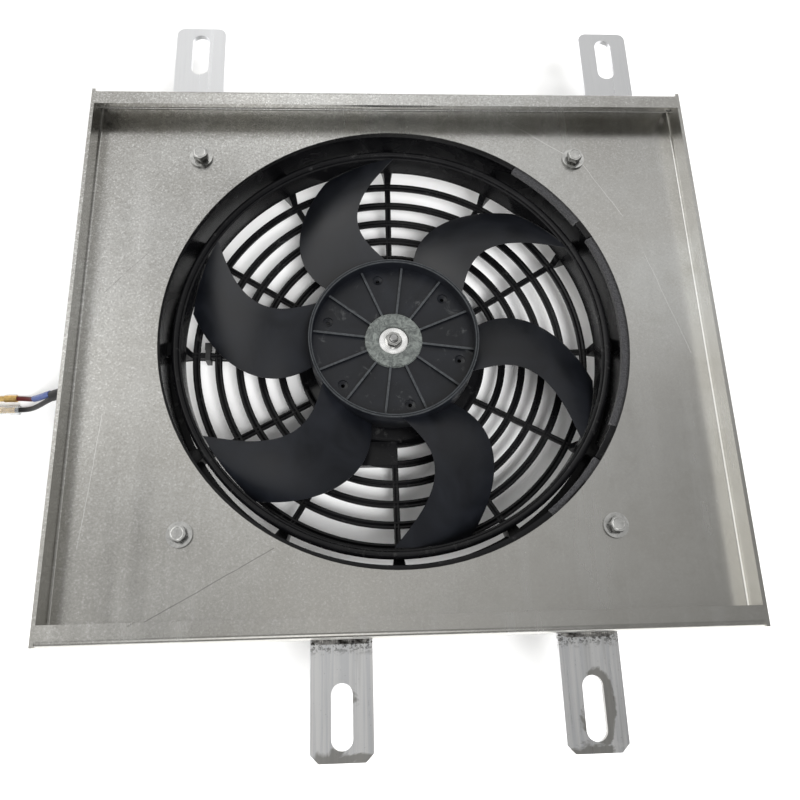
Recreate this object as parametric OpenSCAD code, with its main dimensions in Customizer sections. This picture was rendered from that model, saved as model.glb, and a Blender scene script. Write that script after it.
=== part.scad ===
// Fan and shroud unit of an air-cooled hydraulic oil cooler.
// It lies on the back of its motor, with the open side of the pan up.
// Origin: centre of the motor's flat back. +Z runs along the fan shaft towards the open side of the pan.

/* [Shroud pan] */
// Width of the pan, outside
pan_w = 448; // [400:1:560]
// Length of the pan, outside
pan_l = 400; // [370:1:520]
// Sheet thickness
sheet_t = 2.5; // [1.5:0.1:3]
// Height of the rim above the inside face of the pan
rim_h = 18.5; // [14:0.5:40]
// Width of the lips on the end walls
lip_w = 13; // [8:0.5:15]
// Radius of the air opening
opening_r = 167; // [166.5:0.1:167.5]
// Distance of the opening's centre from the fan shaft, to the right
opening_dx = 1.5; // [0.5:0.1:2]
// Distance of the opening's centre from the fan shaft, upwards
opening_dy = -1; // [-1.5:0.1:0]
// Height of the pan's inside face above the back of the motor
pan_z = 65; // [65:1:65]
// Distance of the pan's centre from the fan shaft, to the right
pan_dx = 2; // [0:0.5:4]
// Distance of the pan's centre from the fan shaft, upwards
pan_dy = -10; // [-14:0.5:0]

/* [Brackets] */
// Width of the bracket bars
bar_w = 38; // [30:1:50]
// Thickness of the bracket bars
bar_t = 4; // [3:0.5:6]
// Length of the bars outside the pan
bar_reach = 69.5; // [60:0.5:100]
// Width of the slots
slot_w = 13; // [9:0.5:16]
// Length of the slots, end to end
slot_l = 38; // [20:1:44]
// Distance from the pan wall to the middle of the slots
slot_y = 44; // [30:1:50]
// Slot distance from the pan's left side, top left bracket
top_left_inset = 75.5; // [40:0.5:150]
// Slot distance from the pan's right side, top right bracket
top_right_inset = 50; // [40:0.5:150]
// Slot distance from the pan's left side, bottom left bracket
bottom_left_inset = 183; // [60:0.5:190]
// Slot distance from the pan's right side, bottom right bracket
bottom_right_inset = 111.5; // [60:0.5:160]

/* [Fan] */
// Radius at the blade tips
blade_r = 151.8; // [150:0.1:152]
// Number of blades
blade_count = 6; // [5:1:7]
// Outside radius of the hub
hub_r = 62; // [60:0.5:64]
// Half the side of the square of fan bolts
bolt_half = 142.3; // [138:0.1:146]
// Number of grille ribs
rib_count = 12; // [12:12:24]
// Number of grille rings
ring_count = 5; // [3:1:5]

/* [Motor] */
// Outside radius of the motor can
can_r = 45; // [45:1:46]
// Shaft radius in the bearings
shaft_r = 4; // [4:0.01:4.02]

/* [Hidden] */
$fn = 96;

// Pan
pan_bottom = pan_z - sheet_t;
rim_top = pan_z + rim_h;
bend_in = 1.5;
bend_out = bend_in + sheet_t;
pan_left = pan_dx - pan_w / 2;
pan_right = pan_dx + pan_w / 2;
pan_top = pan_dy + pan_l / 2;
pan_foot = pan_dy - pan_l / 2;
corner_bead = 3;

// Brackets
bar_z = pan_bottom + bend_out;
bar_round = 6;
bar_chamfer = 5;
root_bead = 3;
root_bead_inset = 2;

// Housing
flange_r = 176;
flange_t = 5.5;
skirt_in = 166;
skirt_out = 168.5;
skirt_low = 21.4;
ledge_in = 161;
ledge_t = 2;
rim_in = 164.5;
rim_t = 1.8;
duct_in = 152.6;
duct_out = 154.8;
duct_low = 31;
duct_top = 52.5;
lip_in = 153.8;
lip_out = 159.1;
lip_low = 47;
bar_width = 5.6;
bar_depth = 3;
groove_w = 1.4;
groove_d = 0.8;
ring_first_r = 85.2;
ring_pitch = 15.3;
ring_last_r = 147.2;
ring_last_top = 20.4;
grille_slope = 0.114;
rib_width = 4.6;
grille_r = 150.2;
plate_r = 72;
plate_t = 3;
ear_r = 51;
ear_boss_low = 3.5;
foot_pad_r = 12;
foot_arm_w = 20;
plate_top = ring_last_top - (ring_last_r - plate_r) * grille_slope;

// Foam strips: each from one angle to another, with its inner radius
foam_t = 4;
foam_out = 172;
foam_arcs = [[-53, -35, 164], [-26, 27, 163.5], [32, 55, 163.5]];

// Fan bolts, M6
m6_r = 3;
m6_hole_r = 3.3;
m6_across = 10;
head_h = 4.2;
flat_t = 1.6;
flat_r = 8.5;
spring_t = 1.6;
spring_r = 5.3;
nut_h = 5;

// Impeller
hub_top = 54.5;
hub_low = 28;
hub_wall = 2.8;
dish_low = 41;
dish_top = 44;
hub_rib_top = 46.4;
boss_r = 21;
boss_low = 38.8;
boss_top = 46.5;
recess_r = 11;
recess_floor = 42.6;
hub_rib_turn = 22.6;
dimple_place_r = 50.4;
dimple_turn = 42.2;
dimple_r = 3.8;
dimple_depth = 1.8;
dimple_hole_r = 1.4;
lead_edge_z = 53;
trail_edge_z = 31;
blade_t = 2.4;
blade_root_r = 60.5;
span_steps = 16;
chord_steps = 10;

// Motor
can_wall = 2;
can_low = 3;
can_top = 38;
bush_r = 8;
running = 0.03;
core_r = 34.8;
core_low = 19;
core_top = 29;
slot_count = 12;
magnet_in = 35.6;
commutator_r = 9.5;
stud_r = 3;
stud_top = 51.4;
shaft_shoulder = 42.3;
pin_z = 40.1;
pin_r = 1;
washer_t = 1.3;
nut_top = 49;
nut_flange_r = 6.4;
nut_flange_t = 1.2;
brush_z = 10.2;
brush_h = 5;

// Route of the motor lead along the grille's back, then up outside the skirt to the grommet
lead_exit_z = 52;
lead_exit_y = -36;
grommet_x = -192;
grommet_l = 8;
motor_lead_r = 2.3;
motor_lead_z = 6;
motor_lead_route = [
    [-45, 0, 6], [-52, 0, 6], [-60, 0, 6], [-72, 0, 6.2], [-92, 0, 8.3], [-112, 0, 10.6],
    [-132, 0, 12.9], [-150, 0, 14.4], [-158, -1, 14.5], [-164.5, -4, 14.6], [-169, -9, 15.6],
    [-172.5, -15, 19.5], [-175.5, -20, 26], [-178.5, -26, 34], [-181, -30.5, 41], [-183.5, -34, 47],
    [-187, -35.7, 51], [-192, -36, 52], [-200, -36, 52]
];
// Ties round the rib and the lead: place along X, and whether the head hangs below
tie_places = [[-138.8, false], [-107.2, true], [-77.5, true]];
tie_w = 3.6;
tie_t = 1;
tie_half = 3.4;
// Routes of the free sleeve and of the two leads that come out of its end
sleeve_r = 4;
sleeve_route = [
    [-200, -36, 52], [-203, -36, 52], [-206, -36, 51.9], [-209, -36, 51.7], [-212, -36, 51.2],
    [-215, -36, 50.5], [-218, -36, 49.6], [-221, -36, 48.4], [-224, -36, 47], [-227, -36, 45.4],
    [-230, -36, 43.7], [-233, -36, 41.9], [-236, -36, 40], [-240, -36, 37.3], [-244, -36, 34.5]
];
lead_r = 1.8;
lead_red_route = [
    [-244, -33.9, 34.5], [-246.5, -33.8, 32.6], [-249, -33.6, 30.4], [-251.5, -33.3, 28], [-254, -32.9, 25.3],
    [-256.5, -32.4, 22.4], [-259, -31.8, 19.4], [-261.5, -31.1, 16.3], [-264, -30.4, 13.2], [-266.5, -29.7, 10.2],
    [-269, -29, 7.6], [-272, -28.2, 5.2], [-275, -27.5, 3.8], [-278.5, -27.1, 3.3], [-282, -27, 3.2]
];
lead_black_route = [
    [-244, -38.1, 34.5], [-246.5, -38.2, 32.5], [-249, -38.3, 30.2], [-251.5, -38.3, 27.6], [-254, -38.2, 24.8],
    [-256.5, -38.1, 21.9], [-259, -37.9, 18.9], [-261.5, -37.7, 15.9], [-264, -37.4, 13], [-266.5, -37.1, 10.3],
    [-269, -36.8, 8], [-272, -36.5, 5.8], [-275, -36.3, 4.5], [-278.5, -36.2, 3.8], [-282, -36.2, 3.7]
];
blue_r = 2.5;
terminal_x = -282;
boot_r = 3.5;
ring_y = -27;
ring_z = 3.2;
spade_y = -36.2;
spade_z = 3.7;

function unit(v) = v / norm(v);
function tangent(path, i) =
    unit(path[min(i + 1, len(path) - 1)] - path[max(i - 1, 0)]);
function ring_points(path, i, r, sides, ref) =
    let (t = tangent(path, i), side = unit(cross(t, ref)), up = cross(side, t))
    [for (k = [0:sides - 1]) let (a = 360 * k / sides) path[i] + r * (cos(a) * side + sin(a) * up)];

// A plain round tube swept along a list of points
module swept(path, r, sides, ref = [0, 1, 0]) {
    last = len(path) - 1;
    points = [for (i = [0:last]) each ring_points(path, i, r, sides, ref)];
    walls = [
        for (i = [0:last - 1], k = [0:sides - 1])
        let (a = i * sides + k, b = i * sides + (k + 1) % sides)
        each [[a, b, b + sides], [a, b + sides, a + sides]]
    ];
    start_cap = [[for (k = [sides - 1:-1:0]) k]];
    end_cap = [[for (k = [0:sides - 1]) last * sides + k]];
    polyhedron(concat(points), concat(walls, start_cap, end_cap));
}

module tube(r_out, r_in, z0, z1) {
    translate([0, 0, z0])
    difference() {
        cylinder(r = r_out, h = z1 - z0);
        translate([0, 0, -1]) cylinder(r = r_in, h = z1 - z0 + 2);
    }
}

// A sector of a flat ring, from angle a0 to a1
module arc_block(r_out, r_in, z0, z1, a0, a1) {
    translate([0, 0, z0]) rotate([0, 0, a0])
    rotate_extrude(angle = a1 - a0)
    translate([r_in, 0]) square([r_out - r_in, z1 - z0]);
}

module hexagon(across, h) {
    cylinder(r = across / sqrt(3), h = h, $fn = 6);
}

// Puts its children at the four fan bolts
module at_bolts() {
    for (sx = [-1, 1], sy = [-1, 1]) translate([sx * bolt_half, sy * bolt_half, 0]) children();
}

// ---------- shroud ----------

// Quarter of a bend, in the corner between +x and +y
module bend() {
    intersection() {
        difference() {
            circle(r = bend_out);
            circle(r = bend_in);
        }
        square(bend_out + 1);
    }
}

// Section of a wall that stands at x = 0 to the right of the pan
module wall_section(top) {
    translate([-bend_out, pan_bottom + bend_out]) mirror([0, 1]) bend();
    translate([-sheet_t, pan_bottom + bend_out]) square([sheet_t, top - pan_bottom - bend_out]);
}

module lip_section() {
    translate([-bend_out, rim_top - bend_out]) bend();
    translate([-lip_w, rim_top - sheet_t]) square([lip_w - bend_out, sheet_t]);
}

module end_wall() {
    translate([pan_left + sheet_t / 2, 0, 0])
    rotate([90, 0, 90])
    linear_extrude(pan_w - sheet_t) {
        wall_section(rim_top - bend_out);
        lip_section();
    }
}

module side_wall() {
    rotate([90, 0, 0])
    translate([0, 0, -pan_l / 2])
    linear_extrude(pan_l) wall_section(rim_top);
}

module shroud_pan() color("silver") {
    difference() {
        translate([pan_left + bend_out, pan_foot + bend_out, pan_bottom])
        cube([pan_w - 2 * bend_out, pan_l - 2 * bend_out, sheet_t]);
        translate([opening_dx, opening_dy, pan_bottom - 1]) cylinder(r = opening_r, h = sheet_t + 2);
        at_bolts() translate([0, 0, pan_bottom - 1]) cylinder(r = m6_hole_r, h = sheet_t + 2);
    }
    translate([0, pan_top, 0]) end_wall();
    translate([0, pan_foot, 0]) mirror([0, 1, 0]) end_wall();
    translate([pan_right, pan_dy, 0]) side_wall();
    translate([pan_left, pan_dy, 0]) mirror([1, 0, 0]) side_wall();
}

// A fillet of weld: a quarter of a round bar laid in an inside corner
module bead(r, length) {
    linear_extrude(length) intersection() {
        circle(r = r);
        square(r + 1);
    }
}

module corner_welds() color("gainsboro") {
    low = pan_z + bend_in;
    high = rim_top - sheet_t;
    for (sx = [-1, 1], sy = [-1, 1])
    translate([pan_dx + sx * (pan_w / 2 - sheet_t), pan_dy + sy * (pan_l / 2 - sheet_t), low])
    mirror([sx > 0 ? 1 : 0, 0, 0]) mirror([0, sy > 0 ? 1 : 0, 0])
    bead(corner_bead, high - low);
}

// A bar whose root is at y = 0 and whose outer end is rounded or chamfered
module bracket(rounded) {
    cut = rounded ? bar_round : bar_chamfer;
    difference() {
        linear_extrude(bar_t) {
            translate([-bar_w / 2, 0]) square([bar_w, bar_reach - cut]);
            translate([cut - bar_w / 2, 0]) square([bar_w - 2 * cut, bar_reach]);
            for (s = [-1, 1]) translate([s * (bar_w / 2 - cut), bar_reach - cut])
            if (rounded) circle(r = cut);
            else circle(r = cut, $fn = 4);
        }
        translate([0, slot_y, -1]) linear_extrude(bar_t + 2) {
            square([slot_w, slot_l - slot_w], center = true);
            for (s = [-1, 1]) translate([0, s * (slot_l - slot_w) / 2]) circle(r = slot_w / 2);
        }
    }
}

module at_top(x) {
    translate([x, pan_top, bar_z]) children();
}

module at_foot(x) {
    translate([x, pan_foot, bar_z]) mirror([0, 1, 0]) children();
}

module at_brackets() {
    at_top(pan_left + top_left_inset) children();
    at_top(pan_right - top_right_inset) children();
    at_foot(pan_left + bottom_left_inset) children();
    at_foot(pan_right - bottom_right_inset) children();
}

module bracket_top_left() color("lightgray") at_top(pan_left + top_left_inset) bracket(true);
module bracket_top_right() color("lightgray") at_top(pan_right - top_right_inset) bracket(true);
module bracket_bottom_left() color("silver") at_foot(pan_left + bottom_left_inset) bracket(false);
module bracket_bottom_right() color("silver") at_foot(pan_right - bottom_right_inset) bracket(false);

module bracket_welds() color("dimgray") {
    length = bar_w - 2 * root_bead_inset;
    at_brackets()
    translate([-length / 2, 0, bar_t])
    rotate([90, 0, 90]) bead(root_bead, length);
}

// ---------- fan housing ----------

// Height of the grille's top at a radius: it dips towards the motor
function grille_z(r) = ring_last_top - (ring_last_r - r) * grille_slope;

// A grille ring with a groove along its top
module grille_ring(r) {
    top = grille_z(r);
    difference() {
        tube(r + bar_width / 2, r - bar_width / 2, top - bar_depth, top);
        tube(r + groove_w / 2, r - groove_w / 2, top - groove_d, top + 1);
    }
}

// A sloping bar along +X between two radii, from one depth to another below the grille's top
module sloped_bar(r0, r1, width, low, high) {
    rotate([90, 0, 0]) translate([0, 0, -width / 2]) linear_extrude(width)
    polygon([
        [r0, grille_z(r0) - low], [r1, grille_z(r1) - low],
        [r1, grille_z(r1) - high], [r0, grille_z(r0) - high]
    ]);
}

module grille_rib() {
    difference() {
        sloped_bar(plate_r - 1, grille_r, rib_width, bar_depth, 0);
        sloped_bar(plate_r + 2, ring_last_r, groove_w, groove_d, -1);
    }
}

// Rib from the end of a grille rib to the skirt, under the duct, wider and higher towards its outer end
module outer_rib() {
    low = ring_last_top - bar_depth;
    intersection() {
        translate([0, 0, low]) linear_extrude(20)
        polygon([
            [grille_r, -2.4], [grille_r, 2.4], [157, 3.6], [skirt_in + 1, 5.8],
            [skirt_in + 1, -5.8], [157, -3.6]
        ]);
        rotate([90, 0, 0]) translate([0, 0, -10]) linear_extrude(20)
        polygon([
            [grille_r, low], [170, low], [170, duct_low + 2], [duct_out + 1, duct_low + 2],
            [duct_in + 0.6, duct_low + 0.5], [grille_r + 0.3, ring_last_top + 0.4],
            [grille_r, ring_last_top + 0.3]
        ]);
    }
}

// Section of the duct: a thin wall under a round lip that turns outwards
module duct_section() {
    lip_r = (lip_out - lip_in) / 2;
    translate([duct_in, duct_low]) square([duct_out - duct_in, duct_top - lip_r - duct_low]);
    translate([lip_in, lip_low]) square([lip_out - lip_in, duct_top - lip_r - lip_low]);
    translate([lip_in + lip_r, duct_top - lip_r]) circle(r = lip_r);
}

// Foot that carries one fan bolt, on an arm from the skirt
module foot() {
    arm_end = bolt_half * sqrt(2);
    difference() {
        union() {
            translate([skirt_out - 1, -foot_arm_w / 2, pan_bottom - flange_t])
            cube([arm_end - skirt_out + 1, foot_arm_w, flange_t]);
            translate([arm_end, 0, pan_bottom - flange_t]) cylinder(r = foot_pad_r, h = flange_t);
            for (s = [-1, 1]) translate([skirt_out - 1, s * 7 - 1.5, 40])
            cube([14, 3, pan_bottom - flange_t - 40]);
        }
        translate([arm_end, 0, 0]) cylinder(r = m6_hole_r, h = pan_z);
    }
}

// Tongue on the flange that ends in the ring for the grommet
module lead_tongue() {
    w = 18;
    difference() {
        union() {
            translate([grommet_x - grommet_l, lead_exit_y - w / 2, pan_bottom - 4.5])
            cube([flange_r + grommet_l - 140 + 10, w, 4.5]);
            translate([grommet_x - grommet_l, lead_exit_y - w / 2, lead_exit_z - 8])
            cube([grommet_l, w, pan_bottom - lead_exit_z + 8]);
        }
        translate([grommet_x - grommet_l - 1, lead_exit_y, lead_exit_z])
        rotate([0, 90, 0]) cylinder(r = 5.5, h = grommet_l + 2);
        cylinder(r = skirt_out - 1, h = pan_z);
    }
}

module fan_housing() color([0.07, 0.07, 0.08]) {
    difference() {
        union() {
            tube(flange_r, skirt_in, pan_bottom - flange_t, pan_bottom);
            tube(skirt_in + 1, rim_in, pan_bottom - rim_t, pan_bottom);
            tube(skirt_out, skirt_in, skirt_low, pan_bottom - flange_t + 1);
            tube(skirt_out, ledge_in, skirt_low, skirt_low + ledge_t);
            for (a = [45:90:315]) rotate([0, 0, a]) foot();
            lead_tongue();
        }
        for (f = foam_arcs)
        arc_block(foam_out, skirt_in - 4, pan_bottom - foam_t, pan_z, f[0], f[1]);
    }
}

module fan_duct() color([0.07, 0.07, 0.08]) rotate_extrude() duct_section();

// Ribs from the grille to the skirt, under the duct
module duct_ribs() color([0.07, 0.07, 0.08]) {
    difference() {
        for (i = [0:rib_count - 1]) rotate([0, 0, i * 360 / rib_count]) outer_rib();
        tube(skirt_out + 1, skirt_in, skirt_low, duct_low + 4);
        tube(skirt_out + 1, ledge_in, skirt_low, skirt_low + ledge_t);
        fan_duct();
    }
}

// Dished grille with the plate that carries the motor; its ribs end on the housing's ribs
module fan_grille() color([0.08, 0.08, 0.09]) {
    for (i = [0:ring_count - 2]) grille_ring(ring_first_r + i * ring_pitch);
    grille_ring(ring_last_r);
    for (i = [0:rib_count - 1]) rotate([0, 0, i * 360 / rib_count]) grille_rib();
    difference() {
        union() {
            tube(plate_r, can_r + 0.4, plate_top - plate_t, plate_top);
            for (a = [90:120:330]) rotate([0, 0, a]) translate([ear_r, 0, ear_boss_low])
            cylinder(r = 4.6, h = plate_top - ear_boss_low);
            translate([-28, -86, plate_top - plate_t - 2]) cube([30, 18, 7]);
        }
        for (a = [90:120:330]) rotate([0, 0, a]) translate([ear_r, 0, ear_boss_low - 1])
        cylinder(r = 2.05, h = plate_top);
        cylinder(r = can_r + 0.4, h = plate_top + 1);
    }
}

module foam_strips() color([0.3, 0.3, 0.32]) {
    for (f = foam_arcs)
    arc_block(foam_out, f[2], pan_bottom - foam_t, pan_bottom, f[0] + 0.3, f[1] - 0.3);
}

// ---------- fan bolts ----------

module fan_bolts() color("gainsboro") at_bolts() {
    under_head = pan_z + flat_t + spring_t;
    translate([0, 0, under_head]) hexagon(m6_across, head_h);
    translate([0, 0, pan_bottom - flange_t - flat_t - nut_h - 2])
    cylinder(r = m6_r, h = under_head - pan_bottom + flange_t + flat_t + nut_h + 2);
}

module spring_washers() color("gray") at_bolts() {
    difference() {
        tube(spring_r, m6_r + 0.1, pan_z + flat_t, pan_z + flat_t + spring_t);
        translate([0, -0.4, pan_z]) cube([10, 0.8, 10]);
    }
}

module flat_washers() color("gainsboro") at_bolts() tube(flat_r, m6_r + 0.2, pan_z, pan_z + flat_t);

module back_washers() color("gainsboro") at_bolts()
    tube(flat_r, m6_r + 0.2, pan_bottom - flange_t - flat_t, pan_bottom - flange_t);

module back_nuts() color("silver") at_bolts() {
    translate([0, 0, pan_bottom - flange_t - flat_t - nut_h])
    difference() {
        hexagon(m6_across, nut_h);
        translate([0, 0, -1]) cylinder(r = m6_r, h = nut_h + 2);
    }
}

// ---------- motor ----------

module motor_can() color([0.12, 0.12, 0.13]) {
    difference() {
        union() {
            tube(can_r, can_r - can_wall, can_low, can_top - can_wall + 0.5);
            tube(can_r, bush_r, can_top - can_wall, can_top);
            tube(bush_r + 2.5, bush_r, 33, can_top - 1);
            for (a = [90:120:330]) rotate([0, 0, a])
            translate([can_r - 1, -5, plate_top]) cube([ear_r + 5 - can_r, 10, 2]);
        }
        for (a = [90:120:330]) rotate([0, 0, a]) translate([ear_r, 0, 0])
        cylinder(r = 2.2, h = 40);
        translate([-can_r - 1, 0, motor_lead_z]) rotate([0, 90, 0]) cylinder(r = motor_lead_r + 0.1, h = 6);
    }
}

module motor_end_cap() color([0.2, 0.2, 0.21]) {
    cylinder(r = can_r, h = 2);
    tube(can_r, can_r - 4, 0, can_low);
    tube(bush_r + 2.5, bush_r, 2 - 0.5, 9);
}

module motor_screws() color("silver") {
    for (a = [90:120:330]) rotate([0, 0, a]) translate([ear_r, 0, 0])
    difference() {
        union() {
            translate([0, 0, ear_boss_low]) cylinder(r = 2, h = plate_top + 3 - ear_boss_low);
            translate([0, 0, plate_top + 2]) cylinder(r = 3.8, h = 2.4);
        }
        translate([-3, -0.5, plate_top + 3.4]) cube([6, 1, 2]);
        translate([-0.5, -3, plate_top + 3.4]) cube([1, 6, 2]);
    }
}

module front_bush() color("peru") tube(bush_r, shaft_r + running, 33.2, can_top);
module rear_bush() color("peru") tube(bush_r, shaft_r + running, 2, 9);

module magnets() color([0.25, 0.24, 0.24]) {
    for (a = [20, 200])
    arc_block(can_r - can_wall, magnet_in, core_low - 2, core_top + 3, a, a + 140);
}

module brush_card() color([0.45, 0.28, 0.15]) tube(can_r - can_wall, 13, 7.5, 9.3);

// The two brushes lie on the Y axis
module at_brushes() {
    for (s = [0, 180]) rotate([0, 0, 90 + s]) children();
}

module brush_holders() color("goldenrod") at_brushes() {
    difference() {
        translate([12, -4, 9.3]) cube([23, 8, 6.7]);
        translate([11, -3.1, brush_z - 0.1]) cube([23, 6.2, brush_h + 0.2]);
    }
}

module brushes() color([0.15, 0.15, 0.16]) at_brushes()
    translate([commutator_r + 0.35, -3, brush_z]) cube([11, 6, brush_h]);

module brush_springs() color("silver") at_brushes() {
    turns = 5;
    steps = 9;
    start = commutator_r + 11.9;
    length = 11.6;
    coil = [
        for (i = [0:turns * steps])
        let (a = 360 * i / steps)
        [start + length * i / (turns * steps), 1.9 * cos(a), brush_z + brush_h / 2 + 1.9 * sin(a)]
    ];
    swept(coil, 0.35, 6, [1, 0, 0]);
}

// ---------- rotor ----------

module shaft() color("silver") {
    difference() {
        union() {
            translate([0, 0, 2.3]) cylinder(r = shaft_r, h = shaft_shoulder - 2.3);
            translate([0, 0, shaft_shoulder - 1]) cylinder(r = stud_r, h = stud_top - shaft_shoulder + 1);
        }
        translate([0, 0, pin_z]) rotate([0, 90, 0]) cylinder(r = pin_r + 0.05, h = 20, center = true);
    }
}

module cross_pin() color("gainsboro")
    translate([0, 0, pin_z]) rotate([0, 90, 0]) cylinder(r = pin_r, h = 15, center = true);

module impeller_washer() color("gainsboro")
    tube(10.5, stud_r + 0.2, recess_floor, recess_floor + washer_t);

module impeller_nut() color("silver") {
    low = recess_floor + washer_t;
    difference() {
        union() {
            translate([0, 0, low]) cylinder(r = nut_flange_r, h = nut_flange_t);
            translate([0, 0, low + nut_flange_t]) hexagon(m6_across, nut_top - low - nut_flange_t);
        }
        translate([0, 0, low - 1]) cylinder(r = stud_r, h = nut_top - low + 2);
    }
}

module thrust_washers() color("peru") {
    tube(7.4, shaft_r, 9.15, 9.75);
    tube(7.4, shaft_r, 32.2, 33);
}

module armature_core() color([0.45, 0.45, 0.47]) {
    difference() {
        tube(core_r, shaft_r, core_low, core_top);
        for (i = [0:slot_count - 1]) rotate([0, 0, i * 360 / slot_count])
        translate([0, 0, core_low - 1]) linear_extrude(core_top - core_low + 2) {
            translate([16, -2.2]) square([16, 4.4]);
            translate([30, -1]) square([8, 2]);
        }
    }
}

module windings() color([0.72, 0.38, 0.18]) {
    for (i = [0:slot_count - 1]) rotate([0, 0, i * 360 / slot_count])
    translate([16.3, -2, core_low - 1]) cube([15, 4, core_top - core_low + 2]);
    tube(32, 14, core_low - 1.8, core_low - 0.1);
    tube(32, 14, core_top + 0.1, core_top + 2.6);
}

module commutator() color([0.8, 0.5, 0.25]) {
    difference() {
        tube(commutator_r, shaft_r, 9.8, 15.8);
        for (i = [0:slot_count - 1]) rotate([0, 0, i * 360 / slot_count])
        translate([commutator_r - 1, -0.3, 9]) cube([2, 0.6, 8]);
    }
}

// Angle of the leading and trailing edges at a radius, for the blade whose tip is at the top
function along(r) = (r - 62) / 90;
function lead_angle(r) = let (s = along(r)) 94 + 71 * s - 132 * s * s + 55.5 * s * s * s;
function trail_angle(r) = let (s = along(r)) 134 + 25 * s - 76 * s * s + 26 * s * s * s;

// A point of the blade's skin: c runs 0 to 1 across the chord, side is 1 on top and -1 below
function skin(r, c, side) =
    let (
        a = lead_angle(r) + c * (trail_angle(r) - lead_angle(r)),
        camber = 10 * c * (1 - c),
        half = blade_t / 2 * (0.25 + 3 * c * (1 - c)),
        z = lead_edge_z - half - 0.6 + c * (trail_edge_z - lead_edge_z + 1.2) + camber * 0.5
    )
    [r * cos(a), r * sin(a), z + side * half];

module blade() {
    n = chord_steps + 1;
    radii = [for (i = [0:span_steps]) blade_root_r + i * (blade_r - blade_root_r) / span_steps];
    points = [
        for (r = radii) each concat(
            [for (k = [0:chord_steps]) skin(r, k / chord_steps, 1)],
            [for (k = [chord_steps:-1:0]) skin(r, k / chord_steps, -1)]
        )
    ];
    m = 2 * n;
    walls = [
        for (i = [0:span_steps - 1], k = [0:m - 1])
        let (a = i * m + k, b = i * m + (k + 1) % m)
        each [[a, b, b + m], [a, b + m, a + m]]
    ];
    root_cap = [for (k = [0:chord_steps - 1]) each [[k, m - 2 - k, k + 1], [k, m - 1 - k, m - 2 - k]]];
    tip = span_steps * m;
    tip_cap = [
        for (k = [0:chord_steps - 1])
        each [[tip + k, tip + k + 1, tip + m - 2 - k], [tip + k, tip + m - 2 - k, tip + m - 1 - k]]
    ];
    polyhedron(points, concat(walls, root_cap, tip_cap));
}

module at_dimples() {
    for (i = [0:5]) rotate([0, 0, dimple_turn + i * 60]) translate([dimple_place_r, 0, 0]) children();
}

module hub() {
    difference() {
        union() {
            tube(hub_r, hub_r - hub_wall, hub_low, hub_top);
            tube(hub_r - 0.5, shaft_r, dish_low, dish_top);
            tube(boss_r, shaft_r, boss_low, boss_top);
            for (i = [0:11]) rotate([0, 0, hub_rib_turn + i * 30])
            translate([boss_r - 1, -0.8, dish_top - 0.5])
            cube([hub_r - boss_r - 1, 1.6, hub_rib_top - dish_top + 0.5]);
        }
        at_dimples() translate([0, 0, dish_top - dimple_depth]) cylinder(r = dimple_r, h = 5);
        at_dimples() translate([0, 0, dish_low - 1]) cylinder(r = dimple_hole_r, h = 5);
        translate([0, 0, recess_floor]) cylinder(r = recess_r, h = 10);
        translate([-8, -pin_r - 0.1, boss_low - 1]) cube([16, 2 * pin_r + 0.2, pin_z + pin_r + 1.1 - boss_low]);
    }
}

module impeller() color([0.1, 0.1, 0.11]) {
    hub();
    for (i = [0:blade_count - 1]) rotate([0, 0, i * 360 / blade_count]) blade();
}

// ---------- leads ----------

module motor_lead() color([0.06, 0.06, 0.06]) swept(motor_lead_route, motor_lead_r, 12);

// Height of the lead's middle where a tie holds it, just below the rib
function lead_under(x) = grille_z(-x) - bar_depth - motor_lead_r - 0.1;

module cable_ties() color([0.05, 0.05, 0.05]) {
    for (tie = tie_places) {
        x = tie[0];
        low = lead_under(x) - motor_lead_r - 0.9;
        high = grille_z(-x) + 0.4;
        difference() {
            translate([x - tie_w / 2, -tie_half - tie_t, low - tie_t])
            cube([tie_w, 2 * (tie_half + tie_t), high - low + 2 * tie_t]);
            translate([x - tie_w, -tie_half, low]) cube([2 * tie_w, 2 * tie_half, high - low]);
        }
        if (tie[1]) translate([x - 2.4, -2.4, low - tie_t - 2]) cube([4.8, 4.8, 2.2]);
        else translate([x - 2.4, tie_half + tie_t - 0.2, high - 3.4]) cube([4.8, 5.4, 4.6]);
    }
}

module lead_grommet() color([0.08, 0.08, 0.08])
    translate([grommet_x - grommet_l, lead_exit_y, lead_exit_z]) rotate([0, 90, 0])
    difference() {
        cylinder(r = 5.5, h = grommet_l);
        translate([0, 0, -1]) cylinder(r = motor_lead_r, h = grommet_l + 2);
    }

module lead_sleeve() color([0.08, 0.08, 0.08]) swept(sleeve_route, sleeve_r, 12);
module lead_red() color([0.3, 0.06, 0.06]) swept(lead_red_route, lead_r, 8);
module lead_black() color([0.08, 0.08, 0.1]) swept(lead_black_route, lead_r, 8);

module blue_sleeve() color([0.2, 0.3, 0.6])
    swept([for (i = [1:9]) lead_red_route[i]], blue_r, 10);

// Crimp barrel that points along -X, with its flat tongue
module crimp(y, z, r, length) {
    translate([terminal_x - length, y, z]) rotate([0, 90, 0]) cylinder(r = r, h = length);
}

module ring_terminal() color("goldenrod") {
    crimp(ring_y, ring_z, 2.6, 9);
    difference() {
        union() {
            translate([terminal_x - 16, ring_y - 2, ring_z - 0.8]) cube([8, 4, 1]);
            translate([terminal_x - 20, ring_y, ring_z - 0.8]) cylinder(r = 5, h = 1);
        }
        translate([terminal_x - 20, ring_y, 1]) cylinder(r = 2.2, h = 4);
    }
}

module spade_terminal() color("goldenrod") {
    crimp(spade_y, spade_z, 2.2, 8);
    translate([terminal_x - 22, spade_y - 2.4, spade_z - 0.5]) cube([15, 4.8, 1]);
}

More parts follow.
